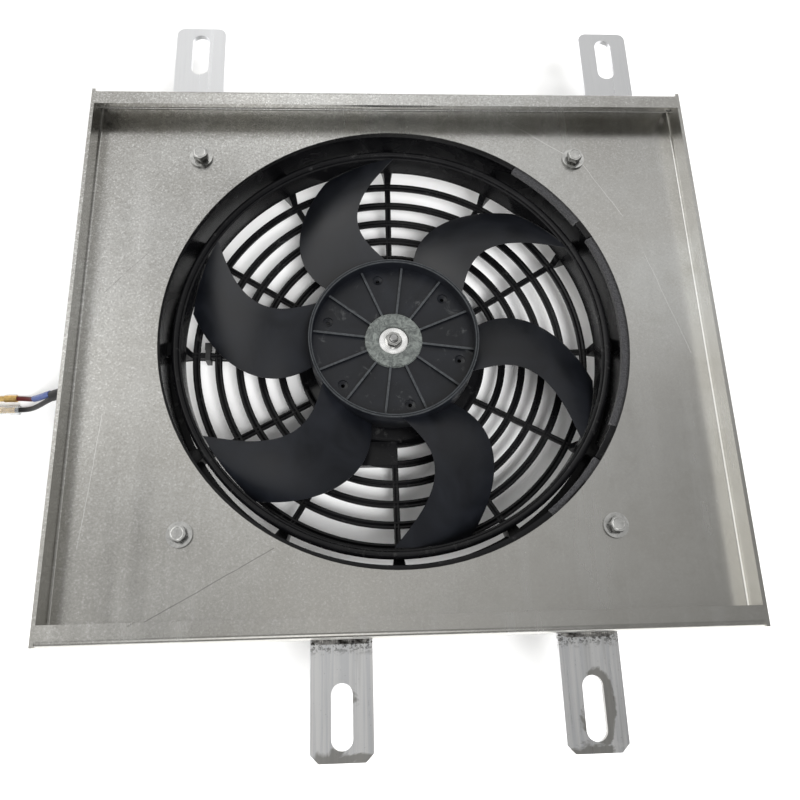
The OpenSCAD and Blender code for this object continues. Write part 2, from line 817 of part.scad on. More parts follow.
module terminal_boot() color([0.85, 0.87, 0.88, 0.5])
    translate([terminal_x - 24, spade_y, spade_z]) rotate([0, 90, 0])
    difference() {
        cylinder(r = boot_r, h = 27);
        translate([0, 0, 1]) cylinder(r = boot_r - 0.6, h = 40);
    }

shroud_pan();
corner_welds();
bracket_top_left();
bracket_top_right();
bracket_bottom_left();
bracket_bottom_right();
bracket_welds();
fan_housing();
fan_duct();
duct_ribs();
fan_grille();
foam_strips();
fan_bolts();
spring_washers();
flat_washers();
back_washers();
back_nuts();
motor_can();
motor_end_cap();
motor_screws();
front_bush();
rear_bush();
magnets();
brush_card();
brush_holders();
brushes();
brush_springs();
impeller();
shaft();
cross_pin();
impeller_washer();
impeller_nut();
thrust_washers();
armature_core();
windings();
commutator();
motor_lead();
cable_ties();
lead_grommet();
lead_sleeve();
lead_red();
blue_sleeve();
lead_black();
ring_terminal();
spade_terminal();
terminal_boot();
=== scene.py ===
import math
import random

import bmesh
import bpy
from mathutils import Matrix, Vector, noise
from mathutils.geometry import tessellate_polygon


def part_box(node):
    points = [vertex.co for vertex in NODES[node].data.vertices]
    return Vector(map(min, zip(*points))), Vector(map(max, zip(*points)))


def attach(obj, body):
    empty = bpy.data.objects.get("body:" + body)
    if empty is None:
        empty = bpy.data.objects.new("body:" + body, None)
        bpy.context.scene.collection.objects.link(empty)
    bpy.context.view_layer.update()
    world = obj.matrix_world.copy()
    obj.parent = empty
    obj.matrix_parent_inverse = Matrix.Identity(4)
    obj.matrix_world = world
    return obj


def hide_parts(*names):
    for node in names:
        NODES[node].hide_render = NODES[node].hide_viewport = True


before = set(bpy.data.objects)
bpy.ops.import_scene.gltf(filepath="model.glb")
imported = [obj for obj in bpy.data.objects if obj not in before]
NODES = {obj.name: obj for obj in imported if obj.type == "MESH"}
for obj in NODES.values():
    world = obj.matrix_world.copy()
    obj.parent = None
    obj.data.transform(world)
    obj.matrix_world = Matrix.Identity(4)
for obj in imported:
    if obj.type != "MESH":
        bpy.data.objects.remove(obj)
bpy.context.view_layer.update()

MM = 0.001

# Sizes in millimetres that several sections share
HUB_R = 62
HUB_WALL = 2.8
BOSS_R = 21
RIB_TOP = 46.3
HUB_RIB_COUNT = 12
STUD_R = 2.95
HEXAGON_ACROSS = 9.9


# ---------- camera ----------

def add_camera():
    """Stands in front of the pan's lower edge and looks down into it."""
    data = bpy.data.cameras.new("camera")
    data.lens = 35.67
    data.sensor_width = 36
    data.clip_start = 0.01
    camera = bpy.data.objects.new("camera", data)
    camera.location = (-0.0290, -0.2275, 0.5805)
    camera.rotation_euler = [math.radians(angle) for angle in (18.779, -2.859, -1.746)]
    bpy.context.scene.collection.objects.link(camera)
    bpy.context.scene.camera = camera


add_camera()


# ---------- shape helpers ----------

def turned(point, angle):
    """A point turned about the Z axis by an angle in degrees."""
    a = math.radians(angle)
    x, y, z = point
    return (x * math.cos(a) - y * math.sin(a), x * math.sin(a) + y * math.cos(a), z)


class Shape:
    """Gathers the vertices and faces of one piece, in millimetres."""

    def __init__(self):
        self.points = []
        self.faces = []

    def add(self, points, faces, turn=0, shift=(0, 0, 0)):
        first = len(self.points)
        for p in points:
            x, y, z = turned(p, turn)
            self.points.append((x + shift[0], y + shift[1], z + shift[2]))
        self.faces += [[first + i for i in face] for face in faces]

    def lathe(self, profile, steps=96, shift=(0, 0, 0), arc=None):
        """Turns a closed outline of (radius, height) about the Z axis, all round or along an arc."""
        n = len(profile)
        start, end = arc or (0, 360)
        count = steps + 1 if arc else steps
        points = []
        for i in range(count):
            a = math.radians(start + (end - start) * i / steps)
            for r, z in profile:
                points.append((r * math.cos(a), r * math.sin(a), z))
        faces = []
        for i in range(steps):
            j = i + 1 if arc else (i + 1) % steps
            for k in range(n):
                m = (k + 1) % n
                faces.append([i * n + k, j * n + k, j * n + m, i * n + m])
        if arc:
            faces += [list(range(n)), [steps * n + k for k in range(n)]]
        self.add(points, faces, shift=shift)

    def drilled(self, outline, holes, z0, z1, upright=False):
        """A flat outline with round holes (x, y, radius), raised from z0 to z1, or stood up along X."""
        loops = [outline] + [
            [(x + r * math.cos(math.pi * k / 20), y + r * math.sin(math.pi * k / 20)) for k in range(40)]
            for x, y, r in holes
        ]
        flat = [p for loop in loops for p in loop]
        n = len(flat)
        caps = [list(t) for t in tessellate_polygon([[Vector((x, y, 0)) for x, y in loop] for loop in loops])]
        faces = caps + [[n + i for i in t] for t in caps]
        first = 0
        for loop in loops:
            m = len(loop)
            for k in range(m):
                a, b = first + k, first + (k + 1) % m
                faces.append([a, b, n + b, n + a])
            first += m
        points = [(x, y, z0) for x, y in flat] + [(x, y, z1) for x, y in flat]
        if upright:
            points = [(z, x, y) for x, y, z in points]
        self.add(points, faces)

    def swept(self, stations, turn=0, shift=(0, 0, 0), cap=None):
        """Joins a row of closed outlines, each a list of points, and caps both ends with the cap's faces."""
        m = len(stations[0])
        points = [p for outline in stations for p in outline]
        faces = []
        for first in (0, len(points) - m):
            faces += [[first + k for k in face] for face in cap or [range(m)]]
        for i in range(len(stations) - 1):
            for k in range(m):
                j = (k + 1) % m
                faces.append([i * m + k, i * m + j, (i + 1) * m + j, (i + 1) * m + k])
        self.add(points, faces, turn, shift)

    def prism(self, outline, z0, z1, turn=0):
        """A flat outline raised from z0 to z1."""
        self.swept([[(x, y, z) for x, y in outline] for z in (z0, z1)], turn)

    def box(self, low, high, turn=0):
        outline = [(low[0], low[1]), (high[0], low[1]), (high[0], high[1]), (low[0], high[1])]
        self.prism(outline, low[2], high[2], turn)

    def piece(self, name, sharp=35, bevel=0, segments=2):
        """The gathered shape as a named object, in metres, smooth but for its sharp edges."""
        mesh = bpy.data.meshes.new(name)
        mesh.from_pydata([(x * MM, y * MM, z * MM) for x, y, z in self.points], [], self.faces)
        work = bmesh.new()
        work.from_mesh(mesh)
        bmesh.ops.remove_doubles(work, verts=work.verts, dist=1e-7)
        bmesh.ops.recalc_face_normals(work, faces=work.faces)
        for face in work.faces:
            face.smooth = True
        for edge in work.edges:
            edge.smooth = edge.calc_face_angle(0) < math.radians(sharp)
        work.to_mesh(mesh)
        work.free()
        obj = bpy.data.objects.new(name, mesh)
        bpy.context.scene.collection.objects.link(obj)
        if bevel:
            add_bevel(obj, bevel, sharp, segments)
        return obj


def add_bevel(obj, width, angle=35, segments=2):
    """Rounds the sharp edges by a width in millimetres."""
    bevel = obj.modifiers.new("edges", "BEVEL")
    bevel.width = width * MM
    bevel.segments = segments
    bevel.limit_method = "ANGLE"
    bevel.angle_limit = math.radians(angle)
    bevel.harden_normals = True


def finish(obj, material, body, node):
    """Gives a piece its material and material slot and the body it rides on, and hides the CAD node it stands
    for.
    """
    give(obj, material)
    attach(obj, body)
    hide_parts(node)


def size_mm(node):
    """Lowest and highest corner of a CAD node, in millimetres."""
    low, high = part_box(node)
    return [v / MM for v in low], [v / MM for v in high]


# ---------- free leads ----------

SLEEVE_R = 3.85
LEAD_R = 1.8
BLUE_R = 2.4
SLEEVE_ROUTE = [
    (-200, -36, 52), (-203, -36, 52), (-206, -36, 51.9), (-209, -36, 51.7),
    (-212, -36, 51.2), (-215, -36, 50.5), (-218, -36, 49.6), (-221, -36, 48.4),
    (-224, -36, 47), (-227, -36, 45.4), (-230, -36, 43.7), (-233, -36, 41.9),
    (-236, -36, 40), (-240, -36, 37.3), (-244, -36, 34.5),
]
RED_ROUTE = [
    (-244, -33.9, 34.5), (-246.5, -33.8, 32.6), (-249, -33.6, 30.4), (-251.5, -33.3, 28),
    (-254, -32.9, 25.3), (-256.5, -32.4, 22.4), (-259, -31.8, 19.4), (-261.5, -31.1, 16.3),
    (-264, -30.4, 13.2), (-266.5, -29.7, 10.2), (-269, -29, 7.6), (-272, -28.2, 5.2),
    (-275, -27.5, 3.8), (-278.5, -27.1, 3.3), (-282, -27, 3.2),
]
BLACK_ROUTE = [
    (-244, -38.1, 34.5), (-246.5, -38.2, 32.5), (-249, -38.3, 30.2), (-251.5, -38.3, 27.6),
    (-254, -38.2, 24.8), (-256.5, -38.1, 21.9), (-259, -37.9, 18.9), (-261.5, -37.7, 15.9),
    (-264, -37.4, 13), (-266.5, -37.1, 10.3), (-269, -36.8, 8), (-272, -36.5, 5.8),
    (-275, -36.3, 4.5), (-278.5, -36.2, 3.8), (-282, -36.2, 3.7),
]


def between(points, share):
    """A point on the smooth curve through the points, at a share of the way along their count."""
    last = len(points) - 1
    place = min(max(share * last, 0), last - 1e-6)
    i = int(place)
    t = place - i
    p = [Vector(points[min(max(i + k, 0), last)]) for k in (-1, 0, 1, 2)]
    a = p[1] * 2
    b = (p[2] - p[0]) * t
    c = (p[0] * 2 - p[1] * 5 + p[2] * 4 - p[3]) * t * t
    d = (p[1] * 3 - p[0] - p[2] * 3 + p[3]) * t * t * t
    return (a + b + c + d) / 2


def lead(name, route, radius, steps=56, sides=16, wall=0):
    """A round lead swept along a route; with a wall, its far end is open like a sleeve's."""
    points = [between(route, i / steps) for i in range(steps + 1)]
    rings = [(i, radius) for i in range(steps + 1)]
    if wall:
        rings += [(i, radius - wall) for i in range(steps, steps - 8, -1)]
    stations = []
    for i, r in rings:
        ahead = points[min(i + 1, steps)] - points[max(i - 1, 0)]
        side = ahead.cross(Vector((0, 1, 0))).normalized()
        up = side.cross(ahead).normalized()
        angles = [2 * math.pi * k / sides for k in range(sides)]
        stations.append([tuple(points[i] + (side * math.cos(a) + up * math.sin(a)) * r) for a in angles])
    shape = Shape()
    shape.swept(stations)
    return shape.piece(name, 60), [p * MM for p in points]


def add_leads():
    sleeve, sleeve_path = lead("sleeve", SLEEVE_ROUTE, SLEEVE_R, wall=0.8)
    red, red_path = lead("supply_red", RED_ROUTE, LEAD_R)
    black, black_path = lead("supply_black", BLACK_ROUTE, LEAD_R)
    blue, _ = lead("blue_jacket", RED_ROUTE[1:10], BLUE_R, 40, wall=0.4)
    pieces = (sleeve, red, black, blue)
    for obj, node in zip(pieces, ("lead_sleeve", "lead_red", "lead_black", "blue_sleeve")):
        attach(obj, "cooler")
        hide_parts(node)
    return pieces


SLEEVE, RED, BLACK, BLUE = add_leads()


# ---------- materials ----------

def math_node(tree, operation, a, b=0):
    """A maths node in a node tree; its two inputs are numbers or other nodes' outputs."""
    made = tree.nodes.new("ShaderNodeMath")
    made.operation = operation
    for socket, value in zip(made.inputs, (a, b)):
        if isinstance(value, (int, float)):
            socket.default_value = value
        else:
            tree.links.new(value, socket)
    return made.outputs[0]


class Paint:
    """A material under construction, with short ways to make and join its nodes."""

    def __init__(self, name, color, rough, metal=0.0):
        self.material = bpy.data.materials.new(name)
        self.material.use_nodes = True
        self.tree = self.material.node_tree
        self.shader = self.tree.nodes["Principled BSDF"]
        self.shader.inputs["Base Color"].default_value = (*color, 1)
        self.shader.inputs["Roughness"].default_value = rough
        self.shader.inputs["Metallic"].default_value = metal
        self.place = self.node("ShaderNodeTexCoord").outputs["Object"]
        self.normal = None

    def node(self, kind, **values):
        made = self.tree.nodes.new(kind)
        for key, value in values.items():
            setattr(made, key, value)
        return made

    def join(self, source, target):
        self.tree.links.new(source, target)

    def split(self, vector):
        """The X, Y and Z of a vector."""
        made = self.node("ShaderNodeSeparateXYZ")
        self.join(vector, made.inputs["Vector"])
        return made.outputs["X"], made.outputs["Y"], made.outputs["Z"]

    def stretched(self, scale):
        """The object's own coordinates, scaled."""
        mapping = self.node("ShaderNodeMapping")
        mapping.inputs["Scale"].default_value = scale
        self.join(self.place, mapping.inputs["Vector"])
        return mapping.outputs["Vector"]

    def noise(self, scale, detail=3, rough=0.5, place=None, twist=0.0):
        made = self.node("ShaderNodeTexNoise")
        made.inputs["Scale"].default_value = scale
        made.inputs["Detail"].default_value = detail
        made.inputs["Roughness"].default_value = rough
        made.inputs["Distortion"].default_value = twist
        self.join(place or self.place, made.inputs["Vector"])
        return made.outputs["Fac"]

    def cells(self, scale):
        """Distance to the nearest of many scattered points."""
        made = self.node("ShaderNodeTexVoronoi")
        made.inputs["Scale"].default_value = scale
        self.join(self.place, made.inputs["Vector"])
        return made.outputs["Distance"]

    def span(self, value, low, high, out_low=0.0, out_high=1.0):
        """Turns low..high into out_low..out_high, and holds the ends."""
        made = self.node("ShaderNodeMapRange")
        for key, number in (("From Min", low), ("From Max", high), ("To Min", out_low), ("To Max", out_high)):
            made.inputs[key].default_value = number
        self.join(value, made.inputs["Value"])
        return made.outputs["Result"]

    def math(self, operation, a, b=0):
        return math_node(self.tree, operation, a, b)

    def mix(self, share, a, b):
        """Colour a, or colour b where the share is 1."""
        made = self.node("ShaderNodeMix", data_type="RGBA")
        for socket, value in ((made.inputs[0], share), (made.inputs[6], a), (made.inputs[7], b)):
            if isinstance(value, (int, float)):
                socket.default_value = value
            elif isinstance(value, tuple):
                socket.default_value = (*value, 1)
            else:
                self.join(value, socket)
        return made.outputs[2]

    def color(self, source):
        self.join(source, self.shader.inputs["Base Color"])

    def rough(self, source):
        self.join(source, self.shader.inputs["Roughness"])

    def bump(self, height, strength, distance=0.2):
        """Adds a relief; distance is its depth in millimetres."""
        made = self.node("ShaderNodeBump")
        made.inputs["Strength"].default_value = strength
        made.inputs["Distance"].default_value = distance * MM
        self.join(height, made.inputs["Height"])
        if self.normal:
            self.join(self.normal, made.inputs["Normal"])
        self.normal = made.outputs["Normal"]
        self.join(self.normal, self.shader.inputs["Normal"])

    def set(self, name, value):
        self.shader.inputs[name].default_value = value


def give(obj, material):
    obj.data.materials.clear()
    obj.data.materials.append(material)


# Scratches on the pan's face: start, end and half of the width
BRIGHT_SCRATCHES = [
    ((92, 178), (140, 145), 0.25), ((150, 138), (176, 92), 0.2),
    ((-206, -150), (-198, -60), 0.16), ((188, 60), (212, -20), 0.14),
]
DARK_SCRATCHES = [((-166, -199), (-82, -152), 0.25), ((-205, 30), (-176, 62), 0.16)]


def scratch(paint, start, end, width):
    """1 along a fine line between two points of the pan's face, in millimetres, and 0 beside it."""
    ax, ay = start
    bx, by = end
    length = math.hypot(bx - ax, by - ay)
    angle = math.degrees(math.atan2(by - ay, bx - ax))
    mapping = paint.node("ShaderNodeMapping", vector_type="TEXTURE")
    mapping.inputs["Location"].default_value = (ax * MM, ay * MM, 0)
    mapping.inputs["Rotation"].default_value = (0, 0, math.radians(angle))
    paint.join(paint.place, mapping.inputs["Vector"])
    x, y, _ = paint.split(mapping.outputs["Vector"])
    along = paint.math("MULTIPLY", paint.math("GREATER_THAN", x, 0), paint.math("LESS_THAN", x, length * MM))
    wobble = paint.math("MULTIPLY", paint.math("SUBTRACT", paint.noise(40, 2), 0.5), 2 * MM)
    off = paint.math("ABSOLUTE", paint.math("ADD", y, wobble))
    near = paint.math("LESS_THAN", off, width * MM)
    return paint.math("MULTIPLY", along, near)


def pan_sheet():
    """Satin aluminium sheet: a sparkling grain, strengthened towards the upper left by painted glints where
    the light falls; smoother and warmer at the lower right, the warmth a painted warm reflection.
    """
    p = Paint("pan sheet", (0.6, 0.6, 0.58), 0.31, 1.0)
    x, y, _ = p.split(p.place)
    # Painted glints: the grain's specks are strengthened towards the upper left, where the light falls.
    glint_share_upper_left = p.span(p.math("SUBTRACT", y, x), -0.25, 0.3, 0.12, 1)
    # Painted reflection: a warm tint on the lower part of the sheet, where it mirrors the warm room.
    lower = p.span(y, 0.05, -0.16)
    sparkle = p.noise(760, 3, 0.7)
    clouds = p.noise(9, 4, 0.55)
    patches = p.noise(30, 4, 0.65)
    streaks = p.noise(70, 4, 0.6, p.stretched((1, 0.06, 1)))
    base = p.mix(p.span(clouds, 0.35, 0.65), (0.57, 0.56, 0.535), (0.67, 0.67, 0.655))
    # Painted warm reflection, mixed in on the lower part.
    base = p.mix(p.math("MULTIPLY", lower, 0.45), base, (0.6, 0.585, 0.54))
    base = p.mix(p.span(patches, 0.5, 0.72, 0, 0.35), base, (0.5, 0.49, 0.45))
    base = p.mix(p.span(streaks, 0.5, 0.75, 0, 0.3), base, (0.74, 0.74, 0.73))
    # Dark and bright specks: the sheet's own grain, with painted glints where the share is high.
    base = p.mix(p.math("MULTIPLY", p.span(sparkle, 0.3, 0.48, 0.7, 0), glint_share_upper_left), base, (0.38, 0.37, 0.35))
    base = p.mix(p.math("MULTIPLY", p.span(sparkle, 0.54, 0.7, 0, 0.9), glint_share_upper_left), base, (0.99, 0.99, 0.98))
    for scratches, share, tone in ((BRIGHT_SCRATCHES, 0.75, (0.97, 0.97, 0.96)),
                                   (DARK_SCRATCHES, 0.65, (0.2, 0.19, 0.18))):
        marks = 0
        for start, end, width in scratches:
            marks = p.math("MAXIMUM", marks, scratch(p, start, end, width))
        base = p.mix(p.math("MULTIPLY", marks, share), base, tone)
    p.color(base)
    p.rough(p.math("ADD", p.span(clouds, 0.3, 0.7, 0.19, 0.26), p.span(streaks, 0.3, 0.7, -0.04, 0.05)))
    p.bump(p.math("MULTIPLY", sparkle, glint_share_upper_left), 0.3, 0.05)
    p.bump(p.noise(5, 2), 0.25, 1.2)
    return p.material


LOWER_BARS = ("bracket_bottom_left", "bracket_bottom_right")
LOWER_SLOT_Y = -254
SLOT_STRAIGHT_HALF = 12.5


def slot_stain(p, x, y, bar):
    """How near a place on a lower bar is to its slot, most of all on the slot's right."""
    low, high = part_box(bar)
    aside = p.math("SUBTRACT", x, (low[0] + high[0]) / 2)
    from_middle = p.math("ABSOLUTE", p.math("SUBTRACT", y, LOWER_SLOT_Y * MM))
    along = p.math("MAXIMUM", p.math("SUBTRACT", from_middle, SLOT_STRAIGHT_HALF * MM), 0)
    far = p.math("SQRT", p.math("ADD", p.math("MULTIPLY", aside, aside), p.math("MULTIPLY", along, along)))
    return p.math("MULTIPLY", p.span(far, 0.0145, 0.0085), p.span(aside, -0.006, 0.006, 0.3, 1))


def bar_marks(p, base, stains):
    """Stains round the slots and at the outer ends of the lower bars, and weld spatter at their roots."""
    x, y, _ = p.split(p.place)
    left, right = (slot_stain(p, x, y, bar) for bar in LOWER_BARS)
    near = p.math("MAXIMUM", p.math("MULTIPLY", left, 0.3), right)
    near = p.math("MAXIMUM", near, p.span(y, -0.267, -0.277, 0, 0.75))
    near = p.math("ADD", near, p.span(stains, 0.3, 0.7, -0.5, 0.5))
    base = p.mix(p.span(near, 0.45, 0.68, 0, 0.75), base, (0.3, 0.29, 0.265))
    root = p.math("MULTIPLY", p.span(y, -0.2195, -0.212), p.span(p.noise(520, 3, 0.7), 0.5, 0.58))
    return p.mix(root, base, (0.06, 0.057, 0.05))


def bar_aluminium(name, streaks, marked):
    """Flat bar: smooth on the upper brackets, brushed and stained on the lower ones."""
    p = Paint(name, (0.8, 0.81, 0.82), 0.36, 1.0)
    lines = p.noise(420, 4, 0.65, p.stretched((1, 0.02, 1)))
    wide = p.noise(210, 3, 0.6, p.stretched((1, 0.03, 1)))
    stains = p.noise(60, 4, 0.6, twist=0.6)
    pits = p.cells(320)
    base = p.mix(p.span(lines, 0.42, 0.58, 0, streaks), (0.84, 0.85, 0.87), (0.99, 0.99, 0.99))
    base = p.mix(p.span(wide, 0.52, 0.62, 0, streaks * 0.45), base, (0.6, 0.6, 0.6))
    if marked:
        base = bar_marks(p, base, stains)
    base = p.mix(p.span(stains, 0.36, 0.33, 0, streaks * 0.5), base, (0.98, 0.98, 0.98))
    base = p.mix(p.span(pits, 0.05, 0.1, streaks * 0.5, 0), base, (0.16, 0.16, 0.16))
    p.color(base)
    p.rough(p.span(lines, 0.3, 0.7, 0.26, 0.42))
    p.bump(lines, 0.1 + 0.3 * streaks, 0.05)
    return p.material


def weld_bead():
    p = Paint("weld", (0.42, 0.41, 0.4), 0.5, 1.0)
    soot = p.noise(160, 4, 0.7)
    p.color(p.mix(p.span(soot, 0.4, 0.62), (0.5, 0.49, 0.47), (0.035, 0.033, 0.03)))
    p.rough(p.span(soot, 0.3, 0.7, 0.35, 0.7))
    p.bump(p.noise(420, 3), 0.6, 0.3)
    return p.material


def moulded_black(name, color, rough, dust, shine=0.5):
    """Black glass-filled plastic with a fine grain, flow marks and a little dust."""
    p = Paint(name, color, rough)
    grain = p.noise(2600, 2)
    flow = p.noise(26, 4, 0.6, twist=1.2)
    specks = p.cells(260)
    lighter = tuple(c * 1.6 + 0.004 for c in color)
    base = p.mix(p.span(flow, 0.4, 0.7, 0, 0.5), color, lighter)
    base = p.mix(p.span(p.noise(140, 3, 0.7), 0.6, 0.75, 0, dust), base, (0.16, 0.16, 0.155))
    base = p.mix(p.span(specks, 0.02, 0.05, dust, 0), base, (0.3, 0.3, 0.29))
    p.color(base)
    p.rough(p.span(flow, 0.3, 0.7, rough - 0.06, rough + 0.08))
    p.bump(grain, 0.18, 0.05)
    p.set("Specular IOR Level", shine)
    return p.material


def impeller_plastic():
    """Black plastic, scuffed to grey on the boss round the washer, with painted highlights on the tops of the
    hub's ribs and rim.
    """
    p = Paint("impeller plastic", (0.022, 0.023, 0.026), 0.42)
    x, y, z = p.split(p.place)
    radius = p.math("SQRT", p.math("ADD", p.math("MULTIPLY", x, x), p.math("MULTIPLY", y, y)))
    flow = p.noise(30, 4, 0.6, twist=1.0)
    scuff = p.noise(210, 4, 0.75, twist=1.5)
    on_boss = p.math("LESS_THAN", radius, (BOSS_R + 0.2) * MM)
    on_face = p.math("LESS_THAN", radius, (HUB_R - HUB_WALL - 0.2) * MM)
    base = p.mix(p.span(flow, 0.35, 0.7), (0.003, 0.0035, 0.005), (0.0075, 0.0085, 0.0115))
    worn = p.math("MULTIPLY", on_boss, p.span(scuff, 0.4, 0.65, 0.35, 1.0))
    base = p.mix(worn, base, (0.16, 0.175, 0.165))
    rubs = p.math("MULTIPLY", on_face, p.span(p.noise(75, 5, 0.75, twist=0.8), 0.6, 0.74, 0, 0.5))
    base = p.mix(rubs, base, (0.11, 0.115, 0.115))
    # Painted highlights: the tops of the hub's ribs and rim are lightened where the light catches them,
    # broken up by the scuff noise.
    rib_tops = p.span(z, (RIB_TOP - 0.4) * MM, (RIB_TOP - 0.1) * MM)
    on_ribs = p.math("MULTIPLY", p.math("SUBTRACT", on_face, on_boss), rib_tops)
    off_rim = p.math("ABSOLUTE", p.math("SUBTRACT", radius, (HUB_R - 1.5) * MM))
    hub_top = size_mm("impeller")[1][2]
    rim_top = p.span(z, (hub_top - 0.9) * MM, (hub_top - 0.2) * MM)
    on_rim = p.math("MULTIPLY", p.math("LESS_THAN", off_rim, 1.8 * MM), rim_top)
    # Painted highlight on the rib and rim tops.
    painted_rim_rib_highlight = p.math("MULTIPLY", p.math("MAXIMUM", on_ribs, on_rim), p.span(scuff, 0.35, 0.6, 0.45, 0.95))
    base = p.mix(painted_rim_rib_highlight, base, (0.045, 0.049, 0.053))
    p.color(base)
    p.rough(p.span(flow, 0.3, 0.7, 0.33, 0.43))
    p.bump(p.noise(2400, 2), 0.16, 0.05)
    p.bump(scuff, 0.08, 0.15)
    p.set("Specular IOR Level", 0.5)
    return p.material


def foam():
    p = Paint("foam", (0.09, 0.09, 0.1), 0.95)
    pores = p.cells(900)
    p.color(p.mix(p.span(pores, 0.1, 0.6), (0.008, 0.008, 0.009), (0.035, 0.035, 0.038)))
    p.bump(pores, 0.9, 0.5)
    p.set("Sheen Weight", 0.3)
    return p.material


def plated(name, color, rough, flank_shade=0.0, metal=1.0):
    """Zinc-plated or plain steel, clouded and finely marked, with painted shade darkening its flanks below
    its lit top.
    """
    p = Paint(name, color, rough, metal)
    haze = p.noise(120, 4, 0.6)
    marks = p.noise(900, 3, 0.6, p.stretched((1, 1, 0.2)))
    base = p.mix(p.span(haze, 0.35, 0.68), color, tuple(c * 0.62 for c in color))
    # Painted shade: faces that turn away from upward are darkened.
    if flank_shade:
        _, _, up = p.split(p.node("ShaderNodeNewGeometry").outputs["Normal"])
        base = p.mix(p.span(up, 0.8, 0.2, 0, flank_shade), base, (0.03, 0.03, 0.028))
    p.color(base)
    p.rough(p.span(marks, 0.3, 0.7, rough - 0.05, rough + 0.1))
    p.bump(marks, 0.15, 0.05)
    return p.material


def coated_metal(name, color, rough):
    """A metal such as brass, bronze, copper or coated steel, with a mottled tone."""
    p = Paint(name, color, rough, 1.0)
    haze = p.noise(210, 4, 0.65)
    p.color(p.mix(p.span(haze, 0.35, 0.68), color, tuple(c * 0.5 for c in color)))
    p.rough(p.span(haze, 0.3, 0.7, rough - 0.05, rough + 0.12))
    p.bump(p.noise(1500, 2), 0.2, 0.05)
    return p.material


def black_coat():
    p = Paint("black coat", (0.02, 0.02, 0.022), 0.35)
    peel = p.noise(700, 2)
    p.color(p.mix(p.span(p.noise(60, 4), 0.4, 0.7), (0.018, 0.018, 0.02), (0.04, 0.04, 0.042)))
    p.rough(p.span(peel, 0.3, 0.7, 0.28, 0.42))
    p.bump(peel, 0.15, 0.1)
    return p.material


def soft_jacket(name, color, rough=0.5):
    """Lead insulation or rubber, with a faint lengthwise drag and dust."""
    p = Paint(name, color, rough)
    drag = p.noise(260, 3, 0.6)
    p.color(p.mix(p.span(drag, 0.4, 0.7, 0, 0.4), color, tuple(c * 1.5 + 0.008 for c in color)))
    p.rough(p.span(drag, 0.3, 0.7, rough - 0.08, rough + 0.1))
    p.set("Specular IOR Level", 0.3)
    p.bump(drag, 0.15, 0.08)
    return p.material


def clear_vinyl():
    p = Paint("clear vinyl", (0.93, 0.95, 0.97), 0.12)
    p.set("Transmission Weight", 0.9)
    p.set("IOR", 1.5)
    haze = p.noise(300, 2)
    p.rough(p.span(haze, 0.3, 0.7, 0.1, 0.25))
    p.bump(haze, 0.1, 0.1)
    return p.material


def pressed_card():
    p = Paint("pressed card", (0.2, 0.1, 0.045), 0.6)
    fibres = p.noise(500, 4, 0.6, p.stretched((1, 0.2, 1)))
    p.color(p.mix(p.span(fibres, 0.35, 0.65), (0.16, 0.08, 0.035), (0.28, 0.15, 0.07)))
    p.bump(fibres, 0.2, 0.1)
    return p.material


SHEET = pan_sheet()
BAR_SMOOTH = bar_aluminium("upper bar", 0.12, False)
BAR_BRUSHED = bar_aluminium("lower bar", 0.8, True)
WELD = weld_bead()
HOUSING = moulded_black("housing plastic", (0.003, 0.003, 0.0035), 0.24, 0.1, 0.28)
TIE = moulded_black("tie plastic", (0.02, 0.02, 0.02), 0.45, 0.1)
IMPELLER = impeller_plastic()
FOAM = foam()
ZINC = plated("zinc plate", (0.95, 0.95, 0.93), 0.15, 0.8)
DARK_STEEL = plated("spring steel", (0.3, 0.29, 0.27), 0.25, 0.9)
NUT_ZINC = plated("nut plate", (0.85, 0.85, 0.83), 0.14, 0.85)
BRIGHT = plated("bright washer", (0.98, 0.98, 0.97), 0.3, metal=0.55)
STEEL = plated("ground steel", (0.6, 0.6, 0.6), 0.25)
CORE = plated("core plates", (0.3, 0.3, 0.31), 0.45)
SPRING = plated("spring wire", (0.62, 0.62, 0.62), 0.2)
BRASS = coated_metal("brass", (0.78, 0.52, 0.2), 0.3)
BRONZE = coated_metal("sintered bronze", (0.5, 0.3, 0.16), 0.5)
COPPER = coated_metal("enamelled copper", (0.7, 0.28, 0.12), 0.32)
FERRITE = coated_metal("ferrite", (0.06, 0.06, 0.065), 0.6)
COAT = black_coat()
RUBBER = soft_jacket("black rubber", (0.003, 0.003, 0.0035))
CARBON = soft_jacket("carbon", (0.02, 0.02, 0.022), 0.6)
RED_JACKET = soft_jacket("red insulation", (0.06, 0.006, 0.006))
BLUE_JACKET = soft_jacket("blue sleeve", (0.045, 0.075, 0.22), 0.4)
VINYL = clear_vinyl()
CARD = pressed_card()

NODE_FINISH = {
    "shroud_pan": SHEET, "bracket_top_left": BAR_SMOOTH, "bracket_top_right": BAR_SMOOTH,
    "bracket_bottom_left": BAR_BRUSHED, "bracket_bottom_right": BAR_BRUSHED,
    "corner_welds": WELD, "bracket_welds": WELD, "fan_housing": HOUSING, "fan_duct": HOUSING,
    "duct_ribs": HOUSING, "fan_grille": HOUSING, "foam_strips": FOAM,
    "fan_bolts": ZINC, "spring_washers": DARK_STEEL, "flat_washers": ZINC, "back_washers": ZINC,
    "back_nuts": ZINC, "motor_can": COAT, "motor_end_cap": COAT, "motor_screws": ZINC,
    "front_bush": BRONZE, "rear_bush": BRONZE, "magnets": FERRITE, "brush_card": CARD,
    "brush_holders": BRASS, "brushes": CARBON, "brush_springs": SPRING, "impeller": IMPELLER,
    "shaft": STEEL, "cross_pin": STEEL, "impeller_washer": BRIGHT, "impeller_nut": NUT_ZINC,
    "thrust_washers": BRONZE, "armature_core": CORE, "windings": COPPER, "commutator": COPPER,
    "motor_lead": RUBBER, "cable_ties": TIE, "lead_grommet": RUBBER, "ring_terminal": BRASS,
    "spade_terminal": BRASS, "terminal_boot": VINYL,
}


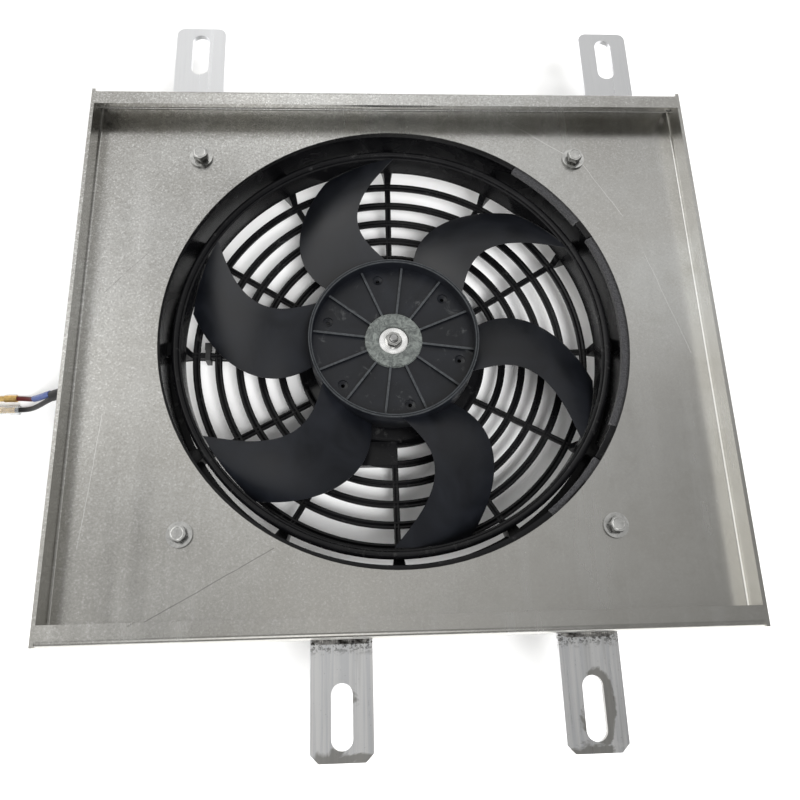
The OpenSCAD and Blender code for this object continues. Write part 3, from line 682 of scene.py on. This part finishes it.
def finish_cad_nodes():
    for name, material in NODE_FINISH.items():
        give(NODES[name], material)
    for name in ("shroud_pan", "bracket_top_left", "bracket_top_right"):
        add_bevel(NODES[name], 0.35)
    for name in LOWER_BARS:
        add_bevel(NODES[name], 0.5)


def finish_leads():
    give(SLEEVE, RUBBER)
    give(RED, RED_JACKET)
    give(BLACK, RUBBER)
    give(BLUE, BLUE_JACKET)


finish_cad_nodes()
finish_leads()


# ---------- fan bolts and nuts ----------

WASHER_R = 8.5


def bolt_places():
    """Centres of the four fan bolts, from the flat washers' box."""
    low, high = size_mm("flat_washers")
    half = (high[0] - low[0]) / 2 - WASHER_R
    return [(sx * half, sy * half) for sx in (-1, 1) for sy in (-1, 1)]


def chamfered_hexagon(shape, across, z0, z1, shift, turn, both=False):
    """Hexagon whose corners are cut back by a cone at its top, and at its foot if asked."""
    corner = across / math.sqrt(3)
    rings = [(1.0, z0), (1.0, z1 - 0.5), (0.93, z1)]
    if both:
        rings = [(0.93, z0), (1.0, z0 + 0.5)] + rings[1:]
    stations = []
    for share, z in rings:
        outline = []
        for a in [7.5 * k for k in range(48)]:
            flat = across / 2 / math.cos(math.radians((a + 30) % 60 - 30))
            outline.append(turned((min(flat, corner * share), 0, z), a))
        stations.append(outline)
    shape.swept(stations, turn, shift)


def thread(shape, r, z0, z1, pitch, shift=(0, 0, 0)):
    """Threaded rod: a profile of ridges turned about its axis, with a domed tip at z1."""
    profile = [(0.01, z0), (r, z0)]
    z = z0
    while z + pitch < z1 - 0.6:
        profile += [(r, z + pitch * 0.1), (r - pitch * 0.45, z + pitch * 0.5), (r, z + pitch * 0.9)]
        z += pitch
    profile += [(r, z1 - 0.6), (r - 0.6, z1), (0.01, z1)]
    shape.lathe(profile, 40, shift)


def add_fan_bolts():
    low, high = size_mm("fan_bolts")
    top = high[2]
    under_head = size_mm("spring_washers")[1][2]
    random.seed(4)
    for index, (x, y) in enumerate(bolt_places()):
        shape = Shape()
        turn = random.uniform(0, 60)
        chamfered_hexagon(shape, HEXAGON_ACROSS, under_head + 0.05, top - 0.15, (x, y, 0), turn)
        shape.lathe([(0.01, top - 0.6), (3.2, top - 0.6), (3.5, top - 0.1), (3.9, top - 0.02),
                     (4.3, top - 0.2), (0.01, top - 0.7)], 40, (x, y, 0))
        thread(shape, STUD_R, low[2], under_head + 0.2, 1.0, (x, y, 0))
        finish(shape.piece(f"fan_bolt_{index + 1}"), ZINC, "cooler", "fan_bolts")


def add_back_nuts():
    low, high = size_mm("back_nuts")
    for index, (x, y) in enumerate(bolt_places()):
        shape = Shape()
        chamfered_hexagon(shape, HEXAGON_ACROSS, low[2], high[2], (x, y, 0), 17 * index, True)
        finish(shape.piece(f"back_nut_{index + 1}"), ZINC, "cooler", "back_nuts")


add_fan_bolts()
add_back_nuts()


# ---------- impeller ----------

LEAD_EDGE_Z = 53
TRAIL_EDGE_Z = 31
BLADE_T = 2.4
BLADE_COUNT = 6
BLADE_SPAN = 90
TIP_R = 151.7
FACE_LOW = 41
FACE_TOP = 44
DIMPLE_R = 3.8
DIMPLE_RING_R = 50.4
DIMPLE_TURN = 42.2
HUB_RIB_TURN = 22.6
SHAFT_R = 3.98
STUD_FOOT = 42


def lead_angle(r):
    """Angle in degrees of a blade's leading edge at a radius."""
    s = (r - HUB_R) / BLADE_SPAN
    return 94 + 71 * s - 132 * s * s + 55.5 * s ** 3


def trail_angle(r):
    """Angle in degrees of a blade's trailing edge at a radius."""
    s = (r - HUB_R) / BLADE_SPAN
    return 134 + 25 * s - 76 * s * s + 26 * s ** 3


def blade_skin(r, c, side):
    """A point of a blade: c runs from 0 at its leading edge to 1 at its trailing edge."""
    a = math.radians(lead_angle(r) + c * (trail_angle(r) - lead_angle(r)))
    camber = 5 * c * (1 - c)
    half = BLADE_T / 2 * (0.25 + 3 * c * (1 - c))
    z = LEAD_EDGE_Z - half - 0.6 + c * (TRAIL_EDGE_Z - LEAD_EDGE_Z + 1.2) + camber
    return (r * math.cos(a), r * math.sin(a), z + side * half)


def add_blade(shape, turn, root_r, tip_r, span=44, chord=22):
    """One sickle blade, with rounded edges and a solid root inside the hub's wall."""
    shares = [(1 - math.cos(math.pi * k / chord)) / 2 for k in range(chord + 1)]
    ring = [(c, 1) for c in shares] + [(c, -1) for c in reversed(shares)]
    m = len(ring)
    radii = [root_r + i * (tip_r - root_r) / span for i in range(span + 1)]
    stations = [[blade_skin(r, c, side) for c, side in ring] for r in radii]
    shape.swept(stations, turn, cap=[[k, k + 1, m - 2 - k, m - 1 - k] for k in range(chord)])


def add_impeller():
    low, high = size_mm("impeller")
    foot, top = low[2], high[2]
    inner = HUB_R - HUB_WALL
    shape = Shape()
    # wall with a groove round the middle of its rim
    shape.lathe([
        (HUB_R - 0.4, foot), (HUB_R, foot + 0.5), (HUB_R, top - 0.5), (HUB_R - 0.4, top),
        (HUB_R - 0.9, top), (HUB_R - 1.2, top - 0.7), (HUB_R - 1.6, top - 0.7), (HUB_R - 1.9, top),
        (HUB_R - 2.4, top), (inner, top - 0.5), (inner, foot),
    ], 180)
    # face of the hub with its six dimples, and the boss with the recess for the washer
    face_r = inner + 0.6
    rim = [turned((face_r, 0, 0), 2 * k)[:2] for k in range(180)]
    dimples = [turned((DIMPLE_RING_R, 0, 0), DIMPLE_TURN + 60 * k) for k in range(6)]
    holes = [(0, 0, BOSS_R - 0.5)] + [(x, y, DIMPLE_R) for x, y, _ in dimples]
    shape.drilled(rim, holes, FACE_LOW, FACE_TOP)
    for place in dimples:
        shape.lathe([(1.4, FACE_LOW + 0.05), (DIMPLE_R + 0.05, FACE_LOW + 0.05), (DIMPLE_R + 0.05, 42.5),
                     (3.5, 42.25), (1.7, 42.2), (1.4, 42)], 40, place)
    shape.lathe([(21.4, 43.9), (21.1, 44.1), (BOSS_R, 44.4), (BOSS_R, 45.9), (20.8, 46.3), (20.3, 46.5),
                 (11.6, 46.5), (11.15, 46.35), (11, 46), (11, 42.6), (4, 42.6), (4, 38.8), (20.6, 38.8),
                 (BOSS_R, 39.2), (BOSS_R, FACE_LOW)], 144)
    rib = [(BOSS_R - 1, -0.8), (HUB_R - 2.4, -0.8), (HUB_R - 2.4, 0.8), (BOSS_R - 1, 0.8)]
    for k in range(HUB_RIB_COUNT):
        shape.prism(rib, FACE_TOP - 0.4, RIB_TOP, HUB_RIB_TURN + 360 / HUB_RIB_COUNT * k)
    for k in range(BLADE_COUNT):
        add_blade(shape, 360 / BLADE_COUNT * k, HUB_R - 1.5, TIP_R)
    finish(shape.piece("impeller_moulding", 40, 0.15, 1), IMPELLER, "rotor", "impeller")


def add_shaft_end():
    """Flange nut with chamfered corners, and the shaft with its threaded stud."""
    low, high = size_mm("impeller_nut")
    foot, top = low[2], high[2]
    flange_r = (high[0] - low[0]) / 2
    shape = Shape()
    shape.lathe([(3, foot), (flange_r - 0.1, foot), (flange_r - 0.05, foot + 0.5),
                 (flange_r - 0.6, foot + 0.9), (4.9, foot + 1.3), (3, foot + 1.3)], 64)
    chamfered_hexagon(shape, HEXAGON_ACROSS, foot + 1, top - 0.5, (0, 0, 0), 14)
    shape.lathe([(3, top - 0.9), (4.6, top - 0.9), (4.2, top - 0.1), (3.5, top - 0.05), (3, top - 0.4)], 40)
    finish(shape.piece("shaft_nut_detail"), NUT_ZINC, "rotor", "impeller_nut")
    low, high = size_mm("shaft")
    shape = Shape()
    shape.lathe([(0.01, low[2]), (3.6, low[2]), (SHAFT_R, low[2] + 0.4), (SHAFT_R, STUD_FOOT),
                 (0.01, STUD_FOOT)], 48)
    thread(shape, STUD_R, STUD_FOOT - 0.1, high[2], 0.8)
    finish(shape.piece("shaft_detail"), STEEL, "rotor", "shaft")


add_impeller()
add_shaft_end()


# ---------- housing and grille ----------

FOAM_ARCS = [(-53, -35, 164), (-26, 27, 163.5), (32, 55, 163.5)]
RING_RADII = (85.2, 100.5, 115.8, 131.1, 147.2)
GRILLE_R = 150.2
GRILLE_RIB_COUNT = 12
BAR_DEPTH = 3
PLATE_R = 72
PLATE_HOLE_R = 45.4
SCREW_RING_R = 51
SCREW_HOLE_R = 2.05
SKIRT_R = 168.5
SKIRT_IN = 166
SKIRT_FOOT = 21.4
FLANGE_R = 176
FLANGE_IN = 164.5
FLANGE_T = 5.5
DUCT_IN = 152.6
DUCT_OUT = 154.8
DUCT_FOOT = 31
BEAD_R = 2.65
OUTER_RIB_FOOT = 17.4
OUTER_RIB_TOP = 33


def grille_z(r):
    """Height of the grille's top at a radius: it dips towards the motor."""
    return 20.4 - (RING_RADII[-1] - r) * 0.114


def grooved_bar(half):
    """Upper outline of a grille bar: rounded shoulders and a round groove along the middle."""
    return [(-half, -0.7), (-half + 0.2, -0.25), (-half + 0.7, 0), (-0.95, 0), (-0.7, -0.12), (-0.45, -0.55),
            (0, -0.75), (0.45, -0.55), (0.7, -0.12), (0.95, 0), (half - 0.7, 0), (half - 0.2, -0.25),
            (half, -0.7)]


def finish_moulding(shape, name, node):
    finish(shape.piece(name, 40), HOUSING, "cooler", node)


def add_grille():
    """Dished grille of rings and ribs, with the plate and bosses that carry the motor."""
    shape = Shape()
    ring = [(-2.5, -BAR_DEPTH)] + grooved_bar(2.8) + [(2.5, -BAR_DEPTH)]
    for r in RING_RADII:
        top = grille_z(r)
        shape.lathe([(r + u, top + v) for u, v in ring], 180)
    rib = [(-2.1, -BAR_DEPTH)] + grooved_bar(2.3) + [(2.1, -BAR_DEPTH)]
    ends = [[(r, u, grille_z(r) + v) for u, v in rib] for r in (PLATE_R - 1, GRILLE_R)]
    for k in range(GRILLE_RIB_COUNT):
        shape.swept(ends, 360 / GRILLE_RIB_COUNT * k)
    top = grille_z(PLATE_R)
    shape.lathe([(PLATE_HOLE_R, top - 3), (71.7, top - 3), (PLATE_R, top - 2.7), (PLATE_R, top - 0.6),
                 (71.5, top - 0.1), (71, top), (69, top), (68.5, top - 0.4), (66, top - 0.4), (65.5, top),
                 (45.8, top), (PLATE_HOLE_R, top - 0.4)], 144)
    low = size_mm("fan_grille")[0][2]
    for angle in (90, 210, 330):
        place = turned((SCREW_RING_R, 0, 0), angle)
        shape.lathe([(SCREW_HOLE_R, low), (4.3, low), (4.6, low + 0.3), (4.6, top - 2),
                     (SCREW_HOLE_R, top - 2)], 32, place)
    shape.box((-28, -86, top - 5), (2, -68, top + 2))
    finish_moulding(shape, "grille_moulding", "fan_grille")


def outer_rib_station(r, half, top):
    """Section of a duct rib at a radius: its half width and its top, with rounded upper corners."""
    low = OUTER_RIB_FOOT
    return [(r, -half, low), (r, half, low), (r, half, top - 0.5), (r, half - 0.15, top - 0.15),
            (r, half - 0.5, top), (r, 0.5 - half, top), (r, 0.15 - half, top - 0.15), (r, -half, top - 0.5)]


def add_housing():
    """Flange, skirt with its ledge, feet under the fan bolts and the tongue for the lead."""
    low, high = size_mm("fan_housing")
    top = high[2]
    flange_low = top - FLANGE_T
    shape = Shape()
    # skirt with the ledge at its foot
    foot = SKIRT_FOOT
    shape.lathe([(161, foot + 0.2), (161.2, foot), (SKIRT_R - 0.4, foot), (SKIRT_R, foot + 0.4),
                 (SKIRT_R, flange_low + 1), (SKIRT_IN, flange_low + 1), (SKIRT_IN, foot + 2.6),
                 (165.4, foot + 2), (161.2, foot + 2), (161, foot + 1.8)], 240)
    # flange, cut down where the foam lies
    gaps = sorted((a0, a1) for a0, a1, _ in FOAM_ARCS)
    bare = [(gaps[k][1], gaps[k + 1][0]) for k in range(len(gaps) - 1)] + [(gaps[-1][1], gaps[0][0] + 360)]
    outside = [(SKIRT_R - 1, flange_low), (FLANGE_R - 0.4, flange_low), (FLANGE_R, flange_low + 0.4)]
    raised = [(FLANGE_R, top - 0.3), (FLANGE_R - 0.3, top), (FLANGE_IN + 0.3, top), (FLANGE_IN, top - 0.3),
              (FLANGE_IN, top - 1.5), (FLANGE_IN + 0.3, top - 1.8), (SKIRT_IN, top - 1.8),
              (SKIRT_IN, flange_low + 0.5)]
    recessed = [(FLANGE_R, top), (172, top), (172, top - 4), (SKIRT_IN, top - 4),
                (SKIRT_IN, flange_low + 0.5)]
    for a0, a1 in bare:
        shape.lathe(outside + raised, max(12, int((a1 - a0) / 1.5)), arc=(a0, a1))
    for a0, a1 in gaps:
        shape.lathe(outside + recessed, int(a1 - a0), arc=(a0, a1))
    # feet under the fan bolts
    x, y = max(bolt_places())
    arm_end = math.hypot(x, y)
    for angle in (45, 135, 225, 315):
        pad = [turned((12, 0, 0), a) for a in range(-60, 61, 10)]
        outline = [(SKIRT_R - 1, -10)] + [(arm_end + px, py) for px, py, _ in pad] + [(SKIRT_R - 1, 10)]
        shape.prism(outline, flange_low, top, angle)
        for side in (-1, 1):
            shape.box((SKIRT_R - 1, side * 7 - 1.5, 40), (SKIRT_R + 13, side * 7 + 1.5, flange_low), angle)
    # tongue and the ring for the grommet
    grommet_low, grommet_high = size_mm("lead_grommet")
    y = (grommet_low[1] + grommet_high[1]) / 2
    z = (grommet_low[2] + grommet_high[2]) / 2
    shape.box((low[0], y - 9, top - 4.5), (-SKIRT_R + 5, y + 9, top))
    shape.drilled([(y - 9, z - 8), (y + 9, z - 8), (y + 9, top), (y - 9, top)], [(y, z, 5.5)],
                  grommet_low[0], grommet_high[0], True)
    finish_moulding(shape, "housing_moulding", "fan_housing")


def add_duct():
    """Duct wall with a bead along its edge, and the ribs that carry it."""
    foot = DUCT_FOOT
    bead = [turned((BEAD_R, 0, 0), 180 * k / 14) for k in range(15)]
    shape = Shape()
    shape.lathe([(DUCT_IN, foot + 0.3), (DUCT_IN + 0.3, foot), (DUCT_OUT - 0.3, foot), (DUCT_OUT, foot + 0.3),
                 (DUCT_OUT, 46.6), (155.2, 47), (158.7, 47), (159.1, 47.4)]
                + [(156.45 + x, 49.85 + y) for x, y, _ in bead]
                + [(153.5, 49.7), (DUCT_IN + 0.3, 49.7), (DUCT_IN, 49.4)], 240)
    finish_moulding(shape, "duct_moulding", "fan_duct")
    top = OUTER_RIB_TOP
    profile = [(GRILLE_R, 2.4, 20.7), (150.6, 2.45, 21), (152, 2.8, 26.7), (153.2, 3, 31.5),
               (154, 3.1, top - 0.2), (155.8, 3.4, top), (157, 3.6, top), (162, 4.7, top), (167, 5.8, top)]
    stations = [outer_rib_station(*station) for station in profile]
    shape = Shape()
    for k in range(GRILLE_RIB_COUNT):
        shape.swept(stations, 360 / GRILLE_RIB_COUNT * k)
    finish_moulding(shape, "duct_rib_moulding", "duct_ribs")


add_grille()
add_housing()
add_duct()


# ---------- foam strips ----------

def add_foam():
    """Strips of open foam with a torn inner edge, glued in the flange's recess."""
    low, high = size_mm("foam_strips")
    outer = high[0]
    for index, (a0, a1, inner) in enumerate(FOAM_ARCS):
        steps = int((a1 - a0) * 3)
        rows = 8
        ring = [(inner + (outer - inner) * k / rows, high[2]) for k in range(rows + 1)]
        ring += [(outer, low[2]), (inner, low[2])]
        stations = []
        for i in range(steps + 1):
            a = a0 + 0.3 + (a1 - a0 - 0.6) * i / steps
            outline = []
            for k, (r, z) in enumerate(ring):
                torn = noise.noise(Vector((a * 1.3, k * 0.8, index * 9)))
                edge = abs(0.5 * torn) if r == inner else 0
                dip = -abs(0.45 * noise.noise(Vector((a * 2.1, r * 0.6, 3)))) if z == high[2] else 0
                outline.append(turned((r + edge, 0, z + dip), a))
            stations.append(outline)
        shape = Shape()
        shape.swept(stations)
        finish(shape.piece(f"foam_strip_{index + 1}", 60), FOAM, "cooler", "foam_strips")


add_foam()


# ---------- weld beads ----------

BEAD_LEG = 2.9


def add_bead(name, start, end, out, up, r, node, seed):
    """A rippled fillet of weld from start to end, filling the corner between out and up."""
    start, end = Vector(start), Vector(end)
    out, up = Vector(out), Vector(up)
    steps = max(24, int((end - start).length * 3))
    arc = 8
    stations = []
    for i in range(steps + 1):
        t = i / steps
        centre = start.lerp(end, t)
        ripple = 0.86 + 0.08 * math.sin(i * 1.7 + seed) + 0.06 * noise.noise(Vector((i * 0.35, seed, 0)))
        taper = min(1, 0.35 + 6 * min(t, 1 - t))
        size = r * ripple * taper
        outline = [tuple(centre)]
        for k in range(arc + 1):
            a = math.pi / 2 * k / arc
            bulge = size * (0.86 + 0.14 * abs(math.cos(2 * a)))
            outline.append(tuple(centre + out * bulge * math.cos(a) + up * bulge * math.sin(a)))
        stations.append(outline)
    shape = Shape()
    shape.swept(stations)
    finish(shape.piece(name, 50), WELD, "cooler", node)


def add_welds():
    for index, name in enumerate(("bracket_top_left", "bracket_top_right", *LOWER_BARS)):
        low, high = size_mm(name)
        at_top = "top" in name
        y = low[1] if at_top else high[1]
        out = (0, 1, 0) if at_top else (0, -1, 0)
        start = (low[0] + 2, y, high[2])
        end = (high[0] - 2, y, high[2])
        add_bead(f"weld_{name}", start, end, out, (0, 0, 1), BEAD_LEG, "bracket_welds", index * 2.3)
    low, high = size_mm("corner_welds")
    for index, (sx, sy) in enumerate(((-1, -1), (1, -1), (1, 1), (-1, 1))):
        x = low[0] if sx < 0 else high[0]
        y = low[1] if sy < 0 else high[1]
        add_bead(f"corner_weld_{index + 1}", (x, y, low[2]), (x, y, high[2]), (-sx, 0, 0), (0, -sy, 0),
                 BEAD_LEG, "corner_welds", index * 1.9)


add_welds()


# ---------- floor and light ----------

FLOOR_HALF = 3
BACKDROP_R = 9
# Soft patches in the room's light, by direction: x, y, half width in x and in y, and how much brighter
PATCHES = [
    (0, 0.05, 0.27, 0.1, 0.25), (-0.07, 0.67, 0.17, 0.08, 1.3),
    (-0.06, -0.62, 0.3, 0.25, 1.3), (-0.32, 0.18, 0.12, 0.12, -0.16),
]


def add_floor():
    mesh = bpy.data.meshes.new("floor")
    half = FLOOR_HALF
    corners = [(-half, -half, 0), (half, -half, 0), (half, half, 0), (-half, half, 0)]
    mesh.from_pydata(corners, [], [[0, 1, 2, 3]])
    floor = bpy.data.objects.new("floor", mesh)
    floor.location.z = -0.0002
    bpy.context.scene.collection.objects.link(floor)
    give(floor, Paint("pale bench", (0.93, 0.93, 0.93), 0.7).material)


def add_backdrop():
    """A plain pale dome that only the camera sees, so that no view shows the room's uneven light."""
    made = bmesh.new()
    bmesh.ops.create_icosphere(made, subdivisions=4, radius=BACKDROP_R)
    mesh = bpy.data.meshes.new("backdrop")
    made.to_mesh(mesh)
    made.free()
    dome = bpy.data.objects.new("backdrop", mesh)
    bpy.context.scene.collection.objects.link(dome)
    for kind in ("diffuse", "glossy", "transmission", "volume_scatter", "shadow"):
        setattr(dome, "visible_" + kind, False)
    material = bpy.data.materials.new("backdrop")
    material.use_nodes = True
    tree = material.node_tree
    tree.nodes.clear()
    light = tree.nodes.new("ShaderNodeEmission")
    light.inputs["Color"].default_value = (0.93, 0.93, 0.92, 1)
    tree.links.new(light.outputs[0], tree.nodes.new("ShaderNodeOutputMaterial").inputs["Surface"])
    mesh.materials.append(material)


def add_soft_light(name, place, size, power):
    """A large lamp that lights the bench and the plastic but isn't mirrored in the metal."""
    data = bpy.data.lights.new(name, "AREA")
    data.shape = "RECTANGLE"
    data.size, data.size_y = size
    data.energy = power
    light = bpy.data.objects.new(name, data)
    light.location = place
    light.rotation_euler = (-Vector(place)).to_track_quat("-Z", "Y").to_euler()
    light.visible_glossy = False
    bpy.context.scene.collection.objects.link(light)


def add_world():
    """Even studio light: bright from the upper left, dimmer to the right, softly uneven as in a room."""
    world = bpy.data.worlds.new("studio")
    bpy.context.scene.world = world
    world.use_nodes = True
    tree = world.node_tree
    back = tree.nodes["Background"]
    back.inputs["Color"].default_value = (1, 0.995, 0.98, 1)
    direction = tree.nodes.new("ShaderNodeTexCoord").outputs["Generated"]
    split = tree.nodes.new("ShaderNodeSeparateXYZ")
    tree.links.new(direction, split.inputs["Vector"])
    x, y = split.outputs["X"], split.outputs["Y"]

    def work(operation, a, b):
        return math_node(tree, operation, a, b)

    def patch(x_at, y_at, x_half, y_half, height):
        across = work("POWER", work("MULTIPLY", work("SUBTRACT", x, x_at), 1 / x_half), 2)
        along = work("POWER", work("MULTIPLY", work("SUBTRACT", y, y_at), 1 / y_half), 2)
        inside = work("MAXIMUM", work("SUBTRACT", work("SUBTRACT", 1, across), along), 0)
        return work("MULTIPLY", inside, height)

    rise = work("MINIMUM", work("ADD", work("MULTIPLY", y, 0.8), 0.4), 0.7)
    fall = work("MULTIPLY", work("MAXIMUM", x, 0), -0.36)
    edge = work("MINIMUM", work("MAXIMUM", work("ADD", work("MULTIPLY", x, -9), -3.1), 0), 1)
    level = work("MAXIMUM", work("ADD", work("ADD", rise, fall), edge), 0.25)
    for numbers in PATCHES:
        level = work("ADD", level, patch(*numbers))
    uneven = tree.nodes.new("ShaderNodeTexNoise")
    uneven.inputs["Scale"].default_value = 5.5
    uneven.inputs["Detail"].default_value = 1
    tree.links.new(direction, uneven.inputs["Vector"])
    folds = work("ADD", work("MULTIPLY", uneven.outputs["Fac"], 1.9), 0.07)
    tree.links.new(work("MULTIPLY", level, folds), back.inputs["Strength"])


add_floor()
add_backdrop()
add_world()
add_soft_light("overhead", (1, -1.9, 3), (1.9, 1.9), 188)
bpy.context.scene.view_settings.view_transform = "Standard"
